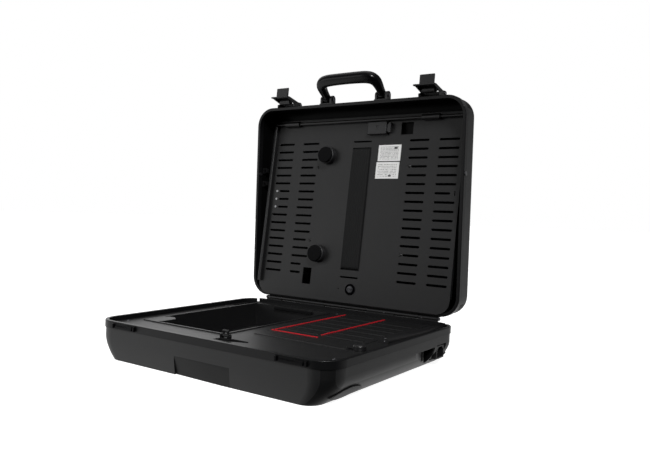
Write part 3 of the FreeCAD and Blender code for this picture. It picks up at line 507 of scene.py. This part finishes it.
def screw_heads(name, axis, head, recess, look=None):
    """Domed heads, head high, with a driver recess in place of a CAD node's plain heads.
    axis points out of the head."""
    axis = Vector(axis).normalized()
    parts = []
    for points in islands(name):
        top = span(points, axis)[1]
        near = [p for p in points if p.dot(axis) > top - 0.0001]
        middle = sum(near, Vector()) / len(near)
        radius = max((p - middle).length for p in near)
        centre = middle - head * axis

        def height(x, y):
            r = math.hypot(x, y)
            if r > radius * 0.999:
                return 0.0
            dome = head * (1 - 0.55 * (r / radius) ** 4)
            arm, width = radius * 0.52, radius * 0.13
            upright = abs(x) < width and abs(y) < arm
            level = recess == "cross" and abs(y) < width and abs(x) < arm
            return dome - (0.45 * head if upright or level else 0.0)

        shares = (0.08, 0.12, 0.14, 0.25, 0.4, 0.5, 0.54, 0.7, 0.85, 0.95, 0.999, 1.0)
        parts.append(ring_grid([radius * t for t in shares], height, centre, axis, 48))
    verts, faces = merge(parts)
    return piece(name + "_heads", verts, faces, BODY_OF[name], SLOT_OF[name], (name,), 30.0,
                 (MATERIALS[look or SLOT_OF[name]],))


def swept(points, sizes, across, count=20, power=2.6):
    """Closed tube through points, of rounded-square sections.
    sizes are half sizes (in the sweep's plane, along across)."""
    verts, faces = [], []
    for i, p in enumerate(points):
        ahead = (points[min(i + 1, len(points) - 1)] - points[max(i - 1, 0)]).normalized()
        out = ahead.cross(across).normalized()
        a, b = sizes[i]
        for k in range(count):
            t = 2 * math.pi * k / count
            c, n = math.cos(t), math.sin(t)
            x = math.copysign(abs(c) ** (2 / power), c) * a
            y = math.copysign(abs(n) ** (2 / power), n) * b
            verts.append(p + x * out + y * across)
    for i in range(len(points) - 1):
        for k in range(count):
            a, b = i * count + k, i * count + (k + 1) % count
            faces.append((a, b, b + count, a + count))
    faces.append(tuple(range(count)))
    faces.append(tuple((len(points) - 1) * count + k for k in range(count)))
    return verts, faces


def smooth_path(knots, steps):
    """Catmull-Rom curve through knots of plain numbers."""
    out = []
    padded = [knots[0]] + list(knots) + [knots[-1]]
    for i in range(1, len(padded) - 2):
        p0, p1, p2, p3 = padded[i - 1:i + 3]
        for s_ in range(steps):
            t = s_ / steps
            out.append(tuple(0.5 * (2 * b + (c - a) * t + (2 * a - 5 * b + 4 * c - d) * t * t
                                    + (3 * b - a - 3 * c + d) * t ** 3)
                             for a, b, c, d in zip(p0, p1, p2, p3)))
    out.append(tuple(float(v) for v in knots[-1]))
    return out


# ---- pieces ---------------------------------------------------------------------------------------
def make_handle():
    """Glossy arched grip, thicker along the bar, with an eye on each pin."""
    pin = Vector(JOINT["handle_swing"]["pos_m"])
    up = Vector((0, -math.sin(HANDLE_LEAN), math.cos(HANDLE_LEAN)))
    across = up.cross(X)
    # x, height above the pins, half thickness in the arch's plane, half depth (mm)
    half = [(-HANDLE_EYE, 4, 7.4, 6.9), (-64.2, 14, 7.7, 7.4), (-64.0, 25, 8.8, 8.4),
            (-62.0, 35, 10.2, 9.4), (-55.5, 42.2, 11.2, 9.9), (-44, 45.4, 11.2, 10.0),
            (-30, 46.3, 10.9, 10.0), (-15, 46.6, 10.7, 10.0), (0, 46.7, 10.6, 10.0)]
    knots = half + [(-x, z, a, b) for x, z, a, b in half[-2::-1]]
    path = smooth_path(knots, 6)
    points = [pin + MM * (x * X + z * up) for x, z, a, b in path]
    parts = [swept(points, [(a * MM, b * MM) for x, z, a, b in path], across, 28)]
    eye_form = ((-7.8, 2.55), (-7.8, 6.4), (-7.0, 7.2), (7.0, 7.2), (7.8, 6.4), (7.8, 2.55), (-7.8, 2.55))
    count = 32
    turns = [2 * math.pi * k / count for k in range(count)]
    for hand in (-1, 1):
        centre = pin + hand * HANDLE_EYE * MM * X
        verts, faces = [], []
        for x, r in eye_form:
            verts += [centre + MM * (x * X + r * (math.cos(t) * up + math.sin(t) * across)) for t in turns]
        for i in range(len(eye_form) - 1):
            for k in range(count):
                a, b = i * count + k, i * count + (k + 1) % count
                faces.append((a, b, b + count, a + count))
        parts.append((verts, faces))
    verts, faces = merge(parts)
    piece("carrying_handle", verts, faces, "handle", "handle_gloss", ("handle_grip",), 50.0)


def panel_point(x, out, up):
    """x along the case, out in front of the panel, up along it from the quarter-turn fastener."""
    return Vector((x, PANEL_AT.y, PANEL_AT.z)) + up * PANEL_UP - out * PANEL_IN


def make_strap():
    """Ribbed elastic strap, through a slot at each end and standing a little off the panel."""
    points = [v.co for v in NODES["holding_strap"].data.vertices]
    x0, x1 = span(points, X)
    front = [p for p in points if (p - PANEL_AT).dot(-PANEL_IN) > 0.0005]
    lo, hi = (v - PANEL_AT.dot(PANEL_UP) for v in span(front, PANEL_UP))
    stand, bow, bend = 1.25, 0.9, 4.5      # mm out at the ends, more in the middle, length of the bend
    # through the slot, as (out, along) in mm
    tuck = [(-2.9, -11.0), (-2.9, -2.0), (-2.4, 0.2), (-0.5, 0.8), (0.7, 1.4), (stand, bend)]
    rows = [(o * MM, lo + v * MM) for o, v in tuck]
    steps = 40
    for i in range(1, steps):
        t = i / steps
        out = MM * (stand + bow * math.sin(math.pi * t) ** 0.7)
        rows.append((out, lo + bend * MM + t * (hi - lo - 2 * bend * MM)))
    rows += [(o * MM, hi - v * MM) for o, v in tuck[::-1]]
    columns, thick, ribs, rib_height, edge_drop = 65, 0.0013, 9, 0.00030, 0.0004
    n = len(rows)
    square = []
    for i in range(n):
        a, b = rows[max(i - 1, 0)], rows[min(i + 1, n - 1)]
        along = Vector((b[0] - a[0], b[1] - a[1])).normalized()
        square.append(Vector((along.y, -along.x)))
    faces, front_side, back_side = [], [], []
    for i, (out, up) in enumerate(rows):
        for k in range(columns):
            t = k / (columns - 1)
            rib = rib_height * math.cos(2 * math.pi * ribs * t)
            rib -= edge_drop if k in (0, columns - 1) else 0.0
            x = x0 + t * (x1 - x0)
            f = Vector((out, up)) + square[i] * (thick / 2 + rib)
            b = Vector((out, up)) - square[i] * (thick / 2)
            front_side.append(panel_point(x, f.x, f.y))
            back_side.append(panel_point(x, b.x, b.y))
    verts = front_side + back_side
    m = len(front_side)
    for i in range(n - 1):
        for k in range(columns - 1):
            a = i * columns + k
            faces.append((a, a + 1, a + 1 + columns, a + columns))
            faces.append((m + a, m + a + columns, m + a + 1 + columns, m + a + 1))
        for k in (0, columns - 1):
            a = i * columns + k
            faces.append((a, a + columns, m + a + columns, m + a))
    for i in (0, n - 1):
        for k in range(columns - 1):
            a = i * columns + k
            faces.append((a, m + a, m + a + 1, a + 1))
    strap = piece("ribbed_strap", verts, faces, "lid", "webbing", ("holding_strap",), 50.0)


def make_pads():
    """Felt discs on the two bumpers, a little crowned."""
    out = -PANEL_IN
    discs = sorted(islands("bumper_pads"), key=lambda g: span(g, Z)[0])
    for tag, points in zip(("lower", "upper"), discs):
        low, high = span(points, out)
        middle = sum(points, Vector()) / len(points)
        middle += (low - middle.dot(out)) * out
        radius = (span(points, X)[1] - span(points, X)[0]) / 2
        thick = high - low
        rings = [radius * t for t in (0.3, 0.6, 0.8, 0.9, 0.95, 0.98, 1.0, 1.0, 0.999)]
        levels = [thick * (1 - 0.10 * (r / radius) ** 2) for r in rings[:4]]
        levels += [thick * t for t in (0.86, 0.78, 0.62, 0.08)] + [0.0]
        count = 64
        turns = [2 * math.pi * k / count for k in range(count)]
        side, other = frame_of(out)
        verts = [middle + thick * out]
        for r, h in zip(rings, levels):
            verts += [middle + r * (math.cos(t) * side + math.sin(t) * other) + h * out for t in turns]
        faces = [(0, 1 + k, 1 + (k + 1) % count) for k in range(count)]
        for i in range(len(rings) - 1):
            for k in range(count):
                a, b = 1 + i * count + k, 1 + i * count + (k + 1) % count
                faces.append((a, a + count, b + count, b))
        faces.append(tuple(1 + (len(rings) - 1) * count + k for k in range(count)))
        pad = piece("felt_pad_" + tag, verts, faces, "lid", "foam", ("bumper_pads",), 60.0)


def make_foam_strip():
    """Foam strip under the rear edge of the bay, with soft edges."""
    lo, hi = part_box("bay_foam_strip")
    bm = bmesh.new()
    bmesh.ops.create_cube(bm, size=1.0)
    for v in bm.verts:
        v.co = Vector([lo[i] + (v.co[i] + 0.5) * (hi[i] - lo[i]) for i in range(3)])
    bmesh.ops.bevel(bm, geom=bm.edges[:], offset=0.0012, segments=4, profile=0.5, affect="EDGES")
    verts = [v.co.copy() for v in bm.verts]
    faces = [tuple(v.index for v in f.verts) for f in bm.faces]
    bm.free()
    strip = piece("foam_strip", verts, faces, "base", "foam", ("bay_foam_strip",), 60.0)


def make_fastener():
    """Quarter-turn fastener: raised dark ring round a lighter slotted centre."""
    out = -PANEL_IN
    points = [v.co.copy() for v in NODES["quarter_turn_fastener"].data.vertices]
    top = span(points, out)[1]
    ring_r, disc_r, ring_height = 0.0110, 0.0072, 0.0024
    base = PANEL_AT + (top - ring_height - PANEL_AT.dot(out)) * out

    def ring_form(x, y):
        r = math.hypot(x, y)
        if r > ring_r * 0.998:
            return 0.0
        if r < disc_r * 1.02:
            return 0.0006
        t = (r - disc_r) / (ring_r - disc_r)
        return ring_height - 0.0012 * abs(2 * t - 1) ** 3

    def disc_form(x, y):
        r = math.hypot(x, y)
        if r > disc_r * 0.97:
            return 0.0004
        slot = abs(y) < 0.0009 and abs(x) < disc_r * 0.8
        return (0.0018 - 0.0005 * (r / disc_r) ** 4) - (0.0009 if slot else 0.0)

    shares = (0.2, 0.4, 0.6, 0.655, 0.665, 0.68, 0.72, 0.8, 0.9, 0.96, 0.985, 0.999, 1.0)
    rings = [ring_r * t for t in shares]
    piece("fastener_ring", *ring_grid(rings, ring_form, base, out, 64), "panel_fastener", "hinge_black",
          ("quarter_turn_fastener",), 35.0, (MATERIALS["fastener_black"],))
    rings = [disc_r * t for t in (0.1, 0.125, 0.14, 0.3, 0.5, 0.7, 0.79, 0.82, 0.9, 0.96, 0.975)]
    piece("fastener_centre", *ring_grid(rings, disc_form, base, out, 64), "panel_fastener", "steel",
          ("quarter_turn_fastener",), 35.0, (MATERIALS["fastener_metal"],))


# ---- scene ----------------------------------------------------------------------------------------
bpy.context.scene.view_settings.view_transform = "Standard"
make_camera()
make_world()
make_floor()
make_lights()
dress_cad()
make_handle()
make_strap()
make_pads()
make_foam_strip()
make_fastener()
screw_heads("hinge_base_screws", (0, 1, 0), 0.0014, "cross")
screw_heads("hinge_lid_screws", (0, 0, -1), 0.0014, "cross")
screw_heads("panel_screws", -PANEL_IN, 0.0012, "cross", "hinge_black")
screw_heads("deck_screws", (0, 0, 1), 0.0014, "cross")
screw_heads("side_rail_screws", (0, -1, 0), 0.0009, "slot")
